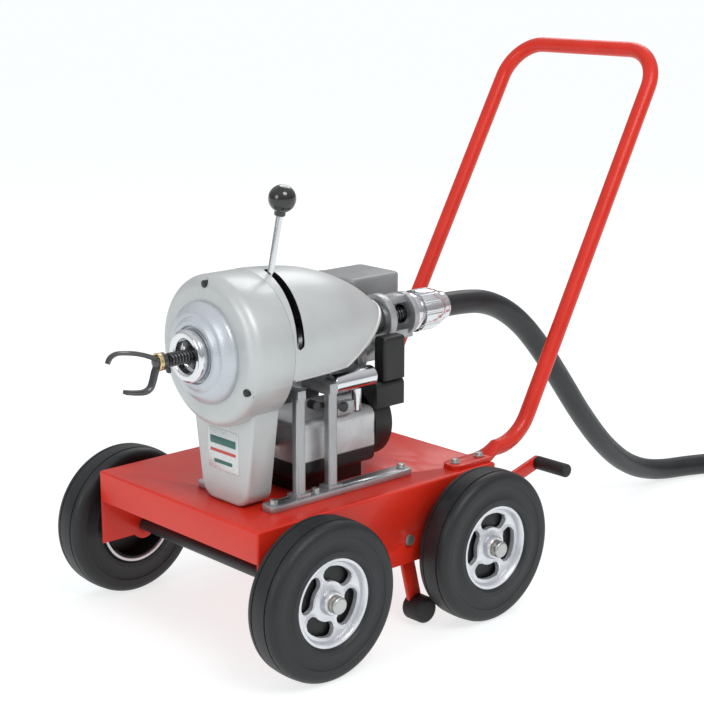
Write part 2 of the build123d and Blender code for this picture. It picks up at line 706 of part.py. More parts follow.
# ---------------------------------------------------------------- rear yoke, spiral and cutter
yoke_x = (-174.0, -106.0)
coupling_rear = -258.0
yoke = rod_x(40, yoke_x[1] - 14, yoke_x[1] - 0.0, machine_y, spindle_z)
yoke += rod_x(36, yoke_x[0], yoke_x[0] + 10, machine_y, spindle_z)
for z0, z1, half in ((22, 34, 13), (-36, -22, 20)):
    yoke += block(*yoke_x, machine_y - half, machine_y + half, spindle_z + z0, spindle_z + z1)
yoke -= rod_x(spindle_r + 1.5, yoke_x[0] + 11, yoke_x[1] + 1, machine_y, spindle_z)
yoke -= rod_x(16, yoke_x[0] - 1, yoke_x[0] + 12, machine_y, spindle_z)
yoke += block(yoke_x[1] - 12, yoke_x[1] - 2, machine_y - 12, machine_y + 12, 434, spindle_z - 36)
save("rear_yoke", yoke)
coupling = on_spindle(turned([
    (yoke_x[0], 16), (yoke_x[0], 33), (-186, 33), (-186, 28), (-193, 28), (-193, 35), (-228, 35),
    (-232, 31), (-240, 31), (-240, 27), (coupling_rear, 25), (coupling_rear, 16),
]))
for k in range(12):
    coupling -= on_spindle(Rot(30 * k, 0, 0) * rod_x(3, -229, -192, 0, 36.5))
save("hose_coupling", coupling)

spiral_r = spiral_dia / 2
spiral_end = cutter_hub - 4.0
claw_thick = 8.0
claw_width = 11.0
save("spiral_cable", rod_x(spiral_r, coupling_rear + 20, spiral_end, machine_y, spindle_z))


def cutter_head():
    """The two-claw cutter: a coupling hub, a long hooked upper claw and a folded lower claw."""
    head = on_spindle(rod_x(13, spiral_end, cutter_hub + 8, 0, 0))
    tip = cutter_tip - cutter_hub - claw_thick / 2
    upper = [(0, 0), (24, 12), (52, 22), (tip - 12, 24), (tip, 12)]
    lower = [(0, 0), (14, -12), (20, -32), (30, -40), (66, -35)]
    for claw in (upper, lower):
        for (x0, z0), (x1, z1) in zip(claw, claw[1:]):
            link = bar_link(
                cutter_hub + x0, spindle_z + z0, cutter_hub + x1, spindle_z + z1, claw_thick, machine_y, claw_width,
            )
            head += link
    return head


save("cutter_head", cutter_head())

# ---------------------------------------------------------------- guide hose
hose_r = hose_dia / 2
route = [
    (coupling_rear, machine_y, spindle_z),
    (-324, machine_y, spindle_z),
    (-390, 61, 462),
    (-456, 59, 424),
    (-520, 55, 365),
    (-588, 49, 289),
    (-662, 40, 206),
    (-750, 27, 124),
    (-848, 10, 60),
    (-948, 1, 24),
    (-1045, 22, hose_r),
    (-1135, 68, hose_r),
    (-1220, 125, hose_r),
    (-1300, 184, hose_r),
]


def hose_radii(points):
    """Each corner's radius: as large as its two runs allow."""
    radii = []
    for a, b, c in zip(points, points[1:], points[2:]):
        before = Vector(*b) - Vector(*a)
        after = Vector(*c) - Vector(*b)
        turn = math.radians(before.get_angle(after))
        radii.append(0.45 * min(before.length, after.length) / math.tan(turn / 2))
    return radii


radii = hose_radii(route)
print("hose radii", [round(r) for r in radii])
path = FilletPolyline(*route, radius=radii)
hose = sweep(Plane(path @ 0, z_dir=path % 0) * Circle(hose_r), path=path)
print("hose length", round(path.length), "volume ratio", hose.volume / (math.pi * hose_r ** 2 * path.length))
save("guide_hose", hose)
leave = (Vector(*route[-1]) - Vector(*route[-2])).normalized()
coil_centre = Vector(*route[-1]) + Vector(-leave.Y, leave.X, 0) * -coil_radius
start_angle = math.degrees(math.atan2(route[-1][1] - coil_centre.Y, route[-1][0] - coil_centre.X))
coil_turn = 208.0
coil_path = CenterArc((coil_centre.X, coil_centre.Y, hose_r), coil_radius, start_angle, -coil_turn)
coil = sweep(Plane(coil_path @ 0, z_dir=coil_path % 0) * Circle(hose_r), path=coil_path)
save("hose_coil", coil)
nozzle_plane = Plane(coil_path @ 1, z_dir=coil_path % 1)
nozzle = extrude(nozzle_plane * Circle(hose_r), 46) + extrude(nozzle_plane.offset(46) * Circle(16), 34)
save("hose_nozzle", nozzle)
print("coil centre", coil_centre, "start", start_angle, "coil length", round(coil_path.length))
print("origin_x", origin_x)
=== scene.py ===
"""The looks of the drain snake machine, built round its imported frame. Metres, in the frame's own axes."""
import json
import math

import bmesh
import bpy
from mathutils import Matrix, Vector


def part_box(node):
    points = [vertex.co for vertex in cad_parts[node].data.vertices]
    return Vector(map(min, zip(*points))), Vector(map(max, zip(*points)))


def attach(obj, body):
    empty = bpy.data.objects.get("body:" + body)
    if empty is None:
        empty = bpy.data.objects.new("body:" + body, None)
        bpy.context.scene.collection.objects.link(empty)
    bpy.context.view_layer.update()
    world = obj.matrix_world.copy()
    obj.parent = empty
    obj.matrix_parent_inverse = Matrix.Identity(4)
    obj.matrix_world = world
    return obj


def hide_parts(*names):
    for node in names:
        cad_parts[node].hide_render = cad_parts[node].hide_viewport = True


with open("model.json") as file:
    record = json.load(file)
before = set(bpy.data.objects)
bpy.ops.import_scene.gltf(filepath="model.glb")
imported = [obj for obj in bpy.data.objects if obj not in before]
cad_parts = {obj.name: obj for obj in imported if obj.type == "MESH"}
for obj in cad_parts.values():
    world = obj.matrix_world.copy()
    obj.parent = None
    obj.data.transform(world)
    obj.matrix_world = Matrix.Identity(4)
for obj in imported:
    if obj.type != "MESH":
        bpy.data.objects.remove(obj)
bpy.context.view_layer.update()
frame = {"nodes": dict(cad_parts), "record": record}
NODES = frame["nodes"]


def centre(node):
    """The middle of a CAD node's box."""
    low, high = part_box(node)
    return (low + high) / 2


SPINDLE_Y = centre("spindle_tube").y
SPINDLE_Z = centre("spindle_tube").z
DECK_FRONT = 0.258  # ahead of the cart's middle
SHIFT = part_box("deck_tray")[1].x - DECK_FRONT  # the cart's middle, ahead of the frame's origin
MACHINE = "cart_and_machine"


def at(x, y, z):
    """A point given in the cart's own frame, in millimetres."""
    return Vector((x / 1000 + SHIFT, y / 1000, z / 1000))


# ---------------------------------------------------------------- camera, light and floor
def camera():
    """The photograph's view: from the front left, a little above."""
    data = bpy.data.cameras.new("camera")
    data.lens = 85.98
    data.sensor_width = 36.0
    data.clip_end = 50.0
    cam = bpy.data.objects.new("camera", data)
    bpy.context.scene.collection.objects.link(cam)
    cam.location = at(1718, 1998, 1066.5)
    aim = at(-288.3, -190.4, 346.5) - cam.location
    cam.rotation_euler = aim.to_track_quat("-Z", "Y").to_euler()
    bpy.context.scene.camera = cam


def area_light(name, place, target, size, power, colour=(1, 1, 1)):
    """A large soft lamp aimed at a point."""
    data = bpy.data.lights.new(name, "AREA")
    data.shape = "DISK"
    data.size = size
    data.energy = power
    data.color = colour
    lamp = bpy.data.objects.new(name, data)
    bpy.context.scene.collection.objects.link(lamp)
    lamp.location = place
    lamp.rotation_euler = (target - lamp.location).to_track_quat("-Z", "Y").to_euler()


def studio():
    """A pale sweep of floor under a soft sky that is brightest overhead."""
    world = bpy.data.worlds.new("studio")
    bpy.context.scene.world = world
    world.use_nodes = True
    tree = world.node_tree
    sky = tree.nodes["Background"]
    place = tree.nodes.new("ShaderNodeTexCoord")
    split = tree.nodes.new("ShaderNodeSeparateXYZ")
    ramp = tree.nodes.new("ShaderNodeValToRGB")
    ramp.color_ramp.elements[0].position = 0.02
    ramp.color_ramp.elements[0].color = (0.4, 0.41, 0.42, 1)
    ramp.color_ramp.elements[1].position = 0.75
    ramp.color_ramp.elements[1].color = (0.98, 0.98, 1.0, 1)
    tree.links.new(place.outputs["Generated"], split.inputs["Vector"])
    tree.links.new(split.outputs["Z"], ramp.inputs["Fac"])
    tree.links.new(ramp.outputs["Color"], sky.inputs["Color"])
    sky.inputs["Strength"].default_value = 0.75
    bpy.context.scene.view_settings.view_transform = "Standard"
    middle = Vector((0, 0, 0.4))
    area_light("key", Vector((0.6, 2.6, 3.4)), middle, 1.8, 62)
    area_light("front", Vector((3.4, 0.2, 1.7)), middle, 1.6, 24)
    area_light("back", Vector((-2.6, -1.6, 3.0)), middle, 2.0, 30)
    bpy.ops.mesh.primitive_plane_add(size=400)
    floor = bpy.context.object
    floor.name = "floor"
    shade = bpy.data.materials.new("floor")
    shade.use_nodes = True
    base = shade.node_tree.nodes["Principled BSDF"]
    base.inputs["Base Color"].default_value = (0.34, 0.375, 0.375, 1)
    base.inputs["Roughness"].default_value = 0.8
    base.inputs["Specular IOR Level"].default_value = 0.1
    base.inputs["Emission Color"].default_value = (1, 1, 1, 1)
    base.inputs["Emission Strength"].default_value = 0.735
    floor.data.materials.append(shade)


camera()
studio()


# ---------------------------------------------------------------- materials
def node(tree, kind, **values):
    """A shader node with its settings and its inputs' values."""
    made = tree.nodes.new(kind)
    for name, value in values.items():
        if hasattr(made, name):
            setattr(made, name, value)
        else:
            made.inputs[name.replace("_", " ")].default_value = value
    return made


def finish(name, colour, rough, metal=0.0, mottle=0.12, grain=600.0, bump=0.04, spread=0.12,
           coat=0.0, edge_wear_and_highlight=None, streak=1.0, cast=0.0):
    """A surface with uneven colour and gloss, a fine grain, an optional cast swell and edges painted lighter
    in patches, partly as worn paint and partly as a painted edge highlight.
    """
    material = bpy.data.materials.new(name)
    material.use_nodes = True
    tree = material.node_tree
    link = tree.links.new
    base = tree.nodes["Principled BSDF"]
    base.inputs["Metallic"].default_value = metal
    base.inputs["Coat Weight"].default_value = coat
    base.inputs["Coat Roughness"].default_value = 0.12
    place = node(tree, "ShaderNodeTexCoord")
    stretch = node(tree, "ShaderNodeMapping")
    stretch.inputs["Scale"].default_value = (1.0, 1.0, streak)
    link(place.outputs["Object"], stretch.inputs["Vector"])
    clouds = node(tree, "ShaderNodeTexNoise", Scale=14.0, Detail=6.0, Roughness=0.6)
    specks = node(tree, "ShaderNodeTexNoise", Scale=grain, Detail=3.0)
    for texture in (clouds, specks):
        link(stretch.outputs["Vector"], texture.inputs["Vector"])
    tone = node(tree, "ShaderNodeValToRGB")
    dark = [c * (1 - mottle) for c in colour]
    light = [min(1.0, c * (1 + mottle) + 0.004) for c in colour]
    tone.color_ramp.elements[0].position = 0.32
    tone.color_ramp.elements[0].color = (*dark, 1)
    tone.color_ramp.elements[1].position = 0.68
    tone.color_ramp.elements[1].color = (*light, 1)
    link(clouds.outputs["Fac"], tone.inputs["Fac"])
    paint = tone.outputs["Color"]
    gloss = node(tree, "ShaderNodeMapRange", From_Min=0.3, From_Max=0.7)
    gloss.inputs["To Min"].default_value = max(0.02, rough - spread)
    gloss.inputs["To Max"].default_value = min(1.0, rough + spread)
    mixed = node(tree, "ShaderNodeMath", operation="MULTIPLY_ADD")
    mixed.inputs[1].default_value = 0.5
    half = node(tree, "ShaderNodeMath", operation="MULTIPLY")
    half.inputs[1].default_value = 0.5
    link(clouds.outputs["Fac"], half.inputs[0])
    link(specks.outputs["Fac"], mixed.inputs[0])
    link(half.outputs[0], mixed.inputs[2])
    link(mixed.outputs[0], gloss.inputs["Value"])
    link(gloss.outputs["Result"], base.inputs["Roughness"])
    relief = node(tree, "ShaderNodeBump", Strength=bump * 5, Distance=0.0004)
    link(specks.outputs["Fac"], relief.inputs["Height"])
    normal = relief
    if cast:
        swell = node(tree, "ShaderNodeTexNoise", Scale=70.0, Detail=2.0)
        link(place.outputs["Object"], swell.inputs["Vector"])
        normal = node(tree, "ShaderNodeBump", Strength=cast, Distance=0.0012)
        link(swell.outputs["Fac"], normal.inputs["Height"])
        link(relief.outputs["Normal"], normal.inputs["Normal"])
    link(normal.outputs["Normal"], base.inputs["Normal"])
    # Edges painted lighter in patches: partly worn paint, partly a painted edge highlight.
    if edge_wear_and_highlight:
        soft_edge = node(tree, "ShaderNodeBevel", Radius=0.0018)
        soft_edge.samples = 4
        geometry = node(tree, "ShaderNodeNewGeometry")
        match = node(tree, "ShaderNodeVectorMath", operation="DOT_PRODUCT")
        link(soft_edge.outputs["Normal"], match.inputs[0])
        link(geometry.outputs["Normal"], match.inputs[1])
        edge = node(tree, "ShaderNodeMapRange", From_Min=0.965, From_Max=0.88)
        link(match.outputs["Value"], edge.inputs["Value"])
        patchy = node(tree, "ShaderNodeMapRange", From_Min=0.52, From_Max=0.6)
        chips = node(tree, "ShaderNodeTexNoise", Scale=160.0, Detail=5.0)
        link(place.outputs["Object"], chips.inputs["Vector"])
        link(chips.outputs["Fac"], patchy.inputs["Value"])
        wear_and_highlight_mask = node(tree, "ShaderNodeMath", operation="MULTIPLY")
        link(edge.outputs["Result"], wear_and_highlight_mask.inputs[0])
        link(patchy.outputs["Result"], wear_and_highlight_mask.inputs[1])
        blend = node(tree, "ShaderNodeMix", data_type="RGBA")
        link(wear_and_highlight_mask.outputs[0], blend.inputs["Factor"])
        link(paint, blend.inputs[6])
        blend.inputs[7].default_value = (*edge_wear_and_highlight, 1)
        paint = blend.outputs[2]
    link(paint, base.inputs["Base Color"])
    return material


def darken_below(material, colour, height):
    """Paint a material dark below a share of its piece's height."""
    tree = material.node_tree
    base = tree.nodes["Principled BSDF"]
    upper = base.inputs["Base Color"].links[0].from_socket
    place = node(tree, "ShaderNodeTexCoord")
    split = node(tree, "ShaderNodeSeparateXYZ")
    step = node(tree, "ShaderNodeMapRange", From_Min=height - 0.01, From_Max=height + 0.01)
    blend = node(tree, "ShaderNodeMix", data_type="RGBA")
    blend.inputs[6].default_value = (*colour, 1)
    tree.links.new(place.outputs["Generated"], split.inputs["Vector"])
    tree.links.new(split.outputs["Z"], step.inputs["Value"])
    tree.links.new(step.outputs["Result"], blend.inputs["Factor"])
    tree.links.new(upper, blend.inputs[7])
    tree.links.new(blend.outputs[2], base.inputs["Base Color"])


MATERIALS = {
    # Red and grey paint get lighter edges: partly worn paint, partly a painted edge highlight.
    "red_paint": finish("red_paint", (0.62, 0.02, 0.006), 0.38, mottle=0.05, grain=900, bump=0.05,
                        coat=0.15, edge_wear_and_highlight=(0.72, 0.12, 0.08)),
    "tyre_rubber": finish("tyre_rubber", (0.006, 0.0075, 0.009), 0.5, mottle=0.3, grain=420, bump=0.12),
    "rim_alloy": finish("rim_alloy", (0.7, 0.71, 0.74), 0.34, metal=0.7, mottle=0.1, grain=500, bump=0.1,
                        cast=0.25),
    "zinc_steel": finish("zinc_steel", (0.5, 0.51, 0.5), 0.35, metal=0.9, mottle=0.15, grain=700),
    "grey_paint": finish("grey_paint", (0.5, 0.52, 0.52), 0.38, metal=0.22, mottle=0.05, grain=520, bump=0.08,
                         coat=0.12, cast=0.1, edge_wear_and_highlight=(0.7, 0.71, 0.7)),
    "flange_paint": finish("flange_paint", (0.5, 0.53, 0.57), 0.33, metal=0.3, mottle=0.05, grain=600,
                           bump=0.06),
    "bare_alloy": finish("bare_alloy", (0.42, 0.43, 0.44), 0.4, metal=0.75, mottle=0.14, grain=380, bump=0.14,
                         cast=0.35),
    "black_plastic": finish("black_plastic", (0.0045, 0.0045, 0.005), 0.45, mottle=0.2, grain=800, bump=0.1),
    "knob_plastic": finish("knob_plastic", (0.01, 0.01, 0.01), 0.14, mottle=0.2, grain=300, bump=0.01,
                           spread=0.05, coat=0.5),
    "black_rubber": finish("black_rubber", (0.008, 0.008, 0.009), 0.6, mottle=0.25, grain=500, bump=0.1),
    "hose_rubber": finish("hose_rubber", (0.006, 0.0075, 0.01), 0.38, mottle=0.3, grain=500, bump=0.1),
    "chrome_steel": finish("chrome_steel", (0.72, 0.73, 0.75), 0.16, metal=1.0, mottle=0.05, grain=900,
                           bump=0.01, spread=0.05),
    "spring_steel": finish("spring_steel", (0.1, 0.1, 0.105), 0.3, metal=0.85, mottle=0.3, grain=600),
    "black_steel": finish("black_steel", (0.02, 0.02, 0.022), 0.4, mottle=0.2, grain=600),
    "tank_paint": finish("tank_paint", (0.27, 0.275, 0.28), 0.4, metal=0.2, mottle=0.1, grain=700, bump=0.06),
    "bronze_bush": finish("bronze_bush", (0.6, 0.42, 0.2), 0.35, metal=0.9, grain=600),
    "cast_iron": finish("cast_iron", (0.2, 0.2, 0.21), 0.42, metal=0.6, mottle=0.2, grain=420, bump=0.12),
    "engine_alloy": finish("engine_alloy", (0.58, 0.59, 0.6), 0.36, metal=0.6, mottle=0.2, grain=380,
                           bump=0.14, cast=0.35),
    # The rim bead's grey is lighter than the hood's paint as a painted highlight.
    "lit_rim_bead": finish("lit_rim_bead", (0.62, 0.63, 0.62), 0.3, metal=0.4, mottle=0.04, grain=600),
    "brass": finish("brass", (0.72, 0.55, 0.28), 0.28, metal=0.95, grain=700),
    "label_plate": finish("label_plate", (0.62, 0.64, 0.64), 0.3, metal=0.4, mottle=0.04, grain=900),
    "label_green": finish("label_green", (0.03, 0.12, 0.1), 0.4, grain=900),
    "label_red": finish("label_red", (0.5, 0.06, 0.05), 0.4, grain=900),
}
# The engine alloy is darker towards the bottom of its piece.
darken_below(MATERIALS["engine_alloy"], (0.03, 0.03, 0.032), 0.46)
# Material swaps: the axles are black steel as painted shade for the shadow under the skirt.
LOOK_AND_SHADE_SWAPS = {"crankcase": "engine_alloy", "axles": "black_steel"}
red_base = MATERIALS["red_paint"].node_tree.nodes["Principled BSDF"]
red_base.inputs["Specular IOR Level"].default_value = 0.32
for part in frame["record"]["subparts"]:
    mesh = NODES[part["node"]].data
    mesh.materials.clear()
    mesh.materials.append(MATERIALS[LOOK_AND_SHADE_SWAPS.get(part["node"], part["material_slot"])])


# ---------------------------------------------------------------- mesh helpers
def dress_cad(name, width=0.0008, angle=28):
    """Weld a CAD node's faces and round its sharp edges, with modifiers only."""
    piece = NODES[name]
    weld = piece.modifiers.new("weld", "WELD")
    weld.merge_threshold = 0.00002
    bevel = piece.modifiers.new("bevel", "BEVEL")
    bevel.width = width
    bevel.segments = 2
    bevel.limit_method = "ANGLE"
    bevel.angle_limit = math.radians(angle)
    bevel.harden_normals = True
    for polygon in piece.data.polygons:
        polygon.use_smooth = True


def new_piece(name, mesh, body, slot, *replaced, material=None):
    """Link a finished mesh or curve as a piece that rides on a body."""
    piece = bpy.data.objects.new(name, mesh)
    bpy.context.scene.collection.objects.link(piece)
    mesh.materials.append(MATERIALS[material or slot])
    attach(piece, body)
    if replaced:
        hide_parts(*replaced)
    return piece


def smooth(mesh, angle=35):
    """Shade a mesh smooth, and sharp where faces meet at more than the angle."""
    for polygon in mesh.polygons:
        polygon.use_smooth = True
    mesh.set_sharp_from_angle(angle=math.radians(angle))
    return mesh


def to_mesh(name, bm):
    """Turn a bmesh into a mesh with its faces turned outward, and free it."""
    bmesh.ops.recalc_face_normals(bm, faces=bm.faces)
    mesh = bpy.data.meshes.new(name)
    bm.to_mesh(mesh)
    bm.free()
    return mesh


def lathe(name, outline, origin, axis, steps=96, closed=True):
    """Revolve an outline of (along, radius) points in metres about an axis through the origin."""
    axis = Vector(axis).normalized()
    side = axis.orthogonal().normalized()
    up = axis.cross(side)
    bm = bmesh.new()
    rings = []
    for k in range(steps):
        turn = 2 * math.pi * k / steps
        out = side * math.cos(turn) + up * math.sin(turn)
        rings.append([bm.verts.new(Vector(origin) + axis * a + out * r) for a, r in outline])
    count = len(outline)
    spans = count if closed else count - 1
    for k in range(steps):
        here, there = rings[k], rings[(k + 1) % steps]
        for i in range(spans):
            j = (i + 1) % count
            bm.faces.new((here[i], here[j], there[j], there[i]))
    bmesh.ops.remove_doubles(bm, verts=bm.verts, dist=1e-7)
    bmesh.ops.dissolve_degenerate(bm, edges=bm.edges, dist=1e-8)
    return smooth(to_mesh(name, bm))


def wire(name, points, radius, order=4, cyclic=False):
    """A round wire along a smooth curve."""
    data = bpy.data.curves.new(name, "CURVE")
    data.dimensions = "3D"
    spline = data.splines.new("NURBS")
    spline.points.add(len(points) - 1)
    for target, point in zip(spline.points, points):
        target.co = (*point, 1)
    spline.order_u = order
    spline.use_cyclic_u = cyclic
    spline.use_endpoint_u = not cyclic
    data.bevel_depth = radius
    data.bevel_resolution = 3
    data.use_fill_caps = True
    return data


for name in NODES:
    dress_cad(name)


# ---------------------------------------------------------------- the guide hose
HOSE_RADIUS = 0.0205


def guide_hose():
    """The hose from the rear coupling down to the floor, and its put-away length in a coil."""
    route = [
        (-258, 62, 477), (-324, 62, 477), (-390, 61, 462), (-456, 59, 424), (-520, 55, 365),
        (-588, 49, 289), (-662, 40, 206), (-750, 27, 124), (-848, 10, 60), (-948, 1, 24),
        (-1045, 22, 20.5), (-1135, 68, 20.5), (-1220, 125, 20.5), (-1300, 184, 20.5),
    ]
    points = [at(*p) for p in route]
    leave = (points[-1] - points[-2]).normalized()
    radius = 0.240
    middle = points[-1] + Vector((leave.y, -leave.x, 0)) * radius
    start = math.atan2(points[-1].y - middle.y, points[-1].x - middle.x)
    turn = math.radians(208)
    steps = 10
    step = turn / steps
    for k in range(steps):
        angle = start - step * (k + 0.5)
        reach = radius / math.cos(step / 2)
        points.append(middle + Vector((math.cos(angle), math.sin(angle), 0)) * reach)
    last = start - turn
    points.append(middle + Vector((math.cos(last), math.sin(last), 0)) * radius)
    data = bpy.data.curves.new("guide_hose_line", "CURVE")
    data.dimensions = "3D"
    spline = data.splines.new("NURBS")
    spline.points.add(len(points) - 1)
    for target, point in zip(spline.points, points):
        target.co = (*point, 1)
    spline.order_u = 3
    spline.use_endpoint_u = True
    data.resolution_u = 16
    data.bevel_depth = HOSE_RADIUS
    data.bevel_resolution = 8
    data.use_fill_caps = True
    hose = new_piece("guide_hose_line", data, MACHINE, "hose_rubber", "guide_hose", "hose_coil")


guide_hose()


# ---------------------------------------------------------------- wheels
def tyre_outline():
    """Half a tyre's outline, from the seat up the wall and over the shoulder to the middle of the tread."""
    wall = [(26.0, 66.0), (26.0, 69.6), (29.6, 73.2), (29.8, 80.0), (29.0, 81.2), (28.8, 100.0),
            (29.2, 101.4), (30.0, 102.0), (30.0, 109.0)]
    shoulder = [(17 + 13 * math.cos(math.radians(a)), 111.4 + 12.6 * math.sin(math.radians(a)))
                for a in range(10, 81, 14)]
    tread = [(16.0, 124.1), (15.4, 122.6), (13.6, 122.6), (13.0, 124.4), (6.0, 124.9), (0.0, 125.0)]
    return wall + shoulder + tread


def tyre(corner):
    """A solid rubber tyre with a raised wall band and a shallow groove beside each shoulder."""
    half = [(a / 1000, r / 1000) for a, r in tyre_outline()]
    outline = half[:-1] + [(-a, r) for a, r in reversed(half)]
    mesh = lathe(f"tread_{corner}", outline, centre(f"tyre_{corner}"), (0, 1, 0), steps=128)
    new_piece(f"tread_{corner}", mesh, f"wheel_{corner}", "tyre_rubber", f"tyre_{corner}")


RIM_OFFSET = 0.0015
WINDOW_RING = 0.043
WINDOW_HALF = 0.012
WINDOW_REACH = math.radians(22)
HUB_EDGE = 0.0165
WEB_EDGE = 0.0635


def window_gap(angle, r, middle):
    """How far a point of the rim's web is outside a kidney window, in metres."""
    off = (angle - middle + math.pi) % (2 * math.pi) - math.pi
    nearest = max(-WINDOW_REACH, min(WINDOW_REACH, off))
    dx = r * math.cos(off) - WINDOW_RING * math.cos(nearest)
    dy = r * math.sin(off) - WINDOW_RING * math.sin(nearest)
    return math.hypot(dx, dy) - WINDOW_HALF


def rim(corner, phase, side):
    """A cast rim: a dished web with four kidney windows, its barrel and its hub, with its back and the inside
    of its barrel painted black as painted shade.
    """
    origin = centre(f"rim_{corner}")
    seat = Vector((origin.x, origin.y - RIM_OFFSET * side, origin.z))
    bm = bmesh.new()
    rings, around = 22, 160
    grid = []
    windows = [math.radians(phase + 90 * k) for k in range(4)]
    for i in range(rings + 1):
        r = HUB_EDGE + (WEB_EDGE - HUB_EDGE) * i / rings
        row = []
        for k in range(around):
            angle = 2 * math.pi * k / around
            dish = 0.0165 - 0.0055 * math.sin(math.pi * min(1.0, (r - 0.0165) / 0.047))
            gap = min(window_gap(angle, r, w) for w in windows)
            dish += 0.0022 * math.exp(-(max(gap, 0) / 0.003) ** 2)
            row.append((r, angle, dish, gap))
        grid.append(row)
    made = {}
    for i, row in enumerate(grid):
        for k, (r, angle, dish, gap) in enumerate(row):
            if gap > -0.0016:
                out = Vector((r * math.cos(angle) * side, side * dish, r * math.sin(angle)))
                made[i, k] = bm.verts.new(out)
    for i in range(rings):
        for k in range(around):
            keys = [(i, k), (i, (k + 1) % around), (i + 1, (k + 1) % around), (i + 1, k)]
            if all(key in made for key in keys):
                bm.faces.new([made[key] for key in keys])
    loose = [v for v in bm.verts if not v.link_faces]
    bmesh.ops.delete(bm, geom=loose, context="VERTS")
    edge = {v for e in bm.edges if e.is_boundary for v in e.verts}
    inner = [v for v in edge if 0.02 < math.hypot(v.co.x, v.co.z) < 0.062]
    for _ in range(6):
        for v in inner:
            r = math.hypot(v.co.x, v.co.z)
            angle = math.atan2(v.co.z, v.co.x * side)
            w = min(windows, key=lambda m: window_gap(angle, r, m))
            off = (angle - w + math.pi) % (2 * math.pi) - math.pi
            nearest = w + max(-WINDOW_REACH, min(WINDOW_REACH, off))
            core = Vector((math.cos(nearest) * side, math.sin(nearest))) * WINDOW_RING
            here = Vector((v.co.x, v.co.z))
            spot = core + (here - core).normalized() * WINDOW_HALF
            v.co.x += (spot.x - v.co.x) * 0.6
            v.co.z += (spot.y - v.co.z) * 0.6
    mesh = to_mesh(f"web_{corner}", bm)
    mesh.transform(Matrix.Translation(seat))
    web = new_piece(f"web_{corner}", smooth(mesh, 50), f"wheel_{corner}", "rim_alloy")
    thick = web.modifiers.new("thick", "SOLIDIFY")
    thick.thickness = 0.007
    thick.offset = 0
    rounded = web.modifiers.new("rounded", "BEVEL")
    rounded.width = 0.0012
    rounded.segments = 2
    rounded.angle_limit = math.radians(50)
    rounded.harden_normals = True
    barrel = [(0.029, 0.0685), (0.0292, 0.0672), (0.0288, 0.0645), (0.026, 0.0625), (0.020, 0.0605),
              (-0.020, 0.0605), (-0.026, 0.0625), (-0.029, 0.0645), (-0.029, 0.0685), (-0.026, 0.0685),
              (-0.026, 0.066), (0.026, 0.066), (0.026, 0.0685)]
    ring = lathe(f"barrel_{corner}", barrel, seat, (0, side, 0), steps=112)
    new_piece(f"barrel_{corner}", ring, f"wheel_{corner}", "rim_alloy", f"rim_{corner}")
    # The rim's closed back is painted black as painted shade, so the windows read dark.
    back = [(0.0062, 0.019), (0.0062, 0.0612), (0.0042, 0.0612), (0.0042, 0.019)]
    disc = lathe(f"rim_back_shade_{corner}", back, seat, (0, side, 0), steps=72)
    new_piece(f"rim_back_shade_{corner}", disc, f"wheel_{corner}", "rim_alloy", material="black_plastic")
    # A thin black liner in the barrel is painted shade for the dark inside of the rim.
    inside = [(-0.0285, 0.0606), (0.0035, 0.0606), (0.0035, 0.0600), (-0.0285, 0.0600)]
    liner = lathe(f"rim_inside_shade_{corner}", inside, seat, (0, side, 0), steps=72)
    new_piece(f"rim_inside_shade_{corner}", liner, f"wheel_{corner}", "rim_alloy", material="black_plastic")
    hub = [(0.0305, 0.0127), (0.0315, 0.0137), (0.0315, 0.0165), (0.029, 0.0185), (0.019, 0.0195),
           (0.0165, 0.0225), (0.0085, 0.0225), (-0.012, 0.0195), (-0.031, 0.0185), (-0.0315, 0.0127)]
    core = lathe(f"hub_{corner}", hub, seat, (0, side, 0), steps=72)
    new_piece(f"hub_{corner}", core, f"wheel_{corner}", "rim_alloy")


WHEELS = (("front_left", 26, 1), ("front_right", 26, -1), ("rear_left", 9, 1), ("rear_right", 9, -1))
for corner, phase, side in WHEELS:
    tyre(corner)
    rim(corner, phase, side)


# ---------------------------------------------------------------- spiral and cutter
def spiral():
    """The wound spring: one wire in close turns from the hose coupling to the cutter."""
    low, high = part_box("spiral_cable")
    thick = 0.0048
    pitch = 0.0056
    radius = (high.z - low.z) / 2 - thick / 2
    turns = int((high.x - low.x - 0.006) / pitch)
    per_turn = 10
    points = []
    for k in range(turns * per_turn + 1):
        angle = 2 * math.pi * k / per_turn
        reach = radius / math.cos(math.pi / per_turn) * 0.985
        x = low.x + 0.003 + pitch * k / per_turn
        points.append((x, SPINDLE_Y + reach * math.cos(angle), SPINDLE_Z + reach * math.sin(angle)))
    data = wire("spiral_wire", points, thick / 2, order=3)
    data.resolution_u = 2
    data.bevel_resolution = 2
    new_piece("spiral_wire", data, "spindle", "spring_steel", "spiral_cable")


def smooth_path(points, origin, per_span=6):
    """A smooth run of points in metres through points in millimetres, ahead of an origin."""
    ends = [points[0]] + list(points) + [points[-1]]
    run = []
    for a, b, c, d in zip(ends, ends[1:], ends[2:], ends[3:]):
        for k in range(per_span):
            t = k / per_span
            spot = []
            for p, q, r, s in zip(a, b, c, d):
                square = 2 * p - 5 * q + 4 * r - s
                cube = 3 * q - p - 3 * r + s
                spot.append(0.5 * (2 * q + (r - p) * t + square * t * t + cube * t ** 3))
            run.append(spot)
    run.append(list(points[-1]))
    return [origin + Vector(p) / 1000 for p in run]


BLADE_SECTION = (
    (1, 0.55), (0.75, 1), (-0.75, 1), (-1, 0.55), (-1, -0.55), (-0.75, -1), (0.75, -1), (1, -0.55),
)


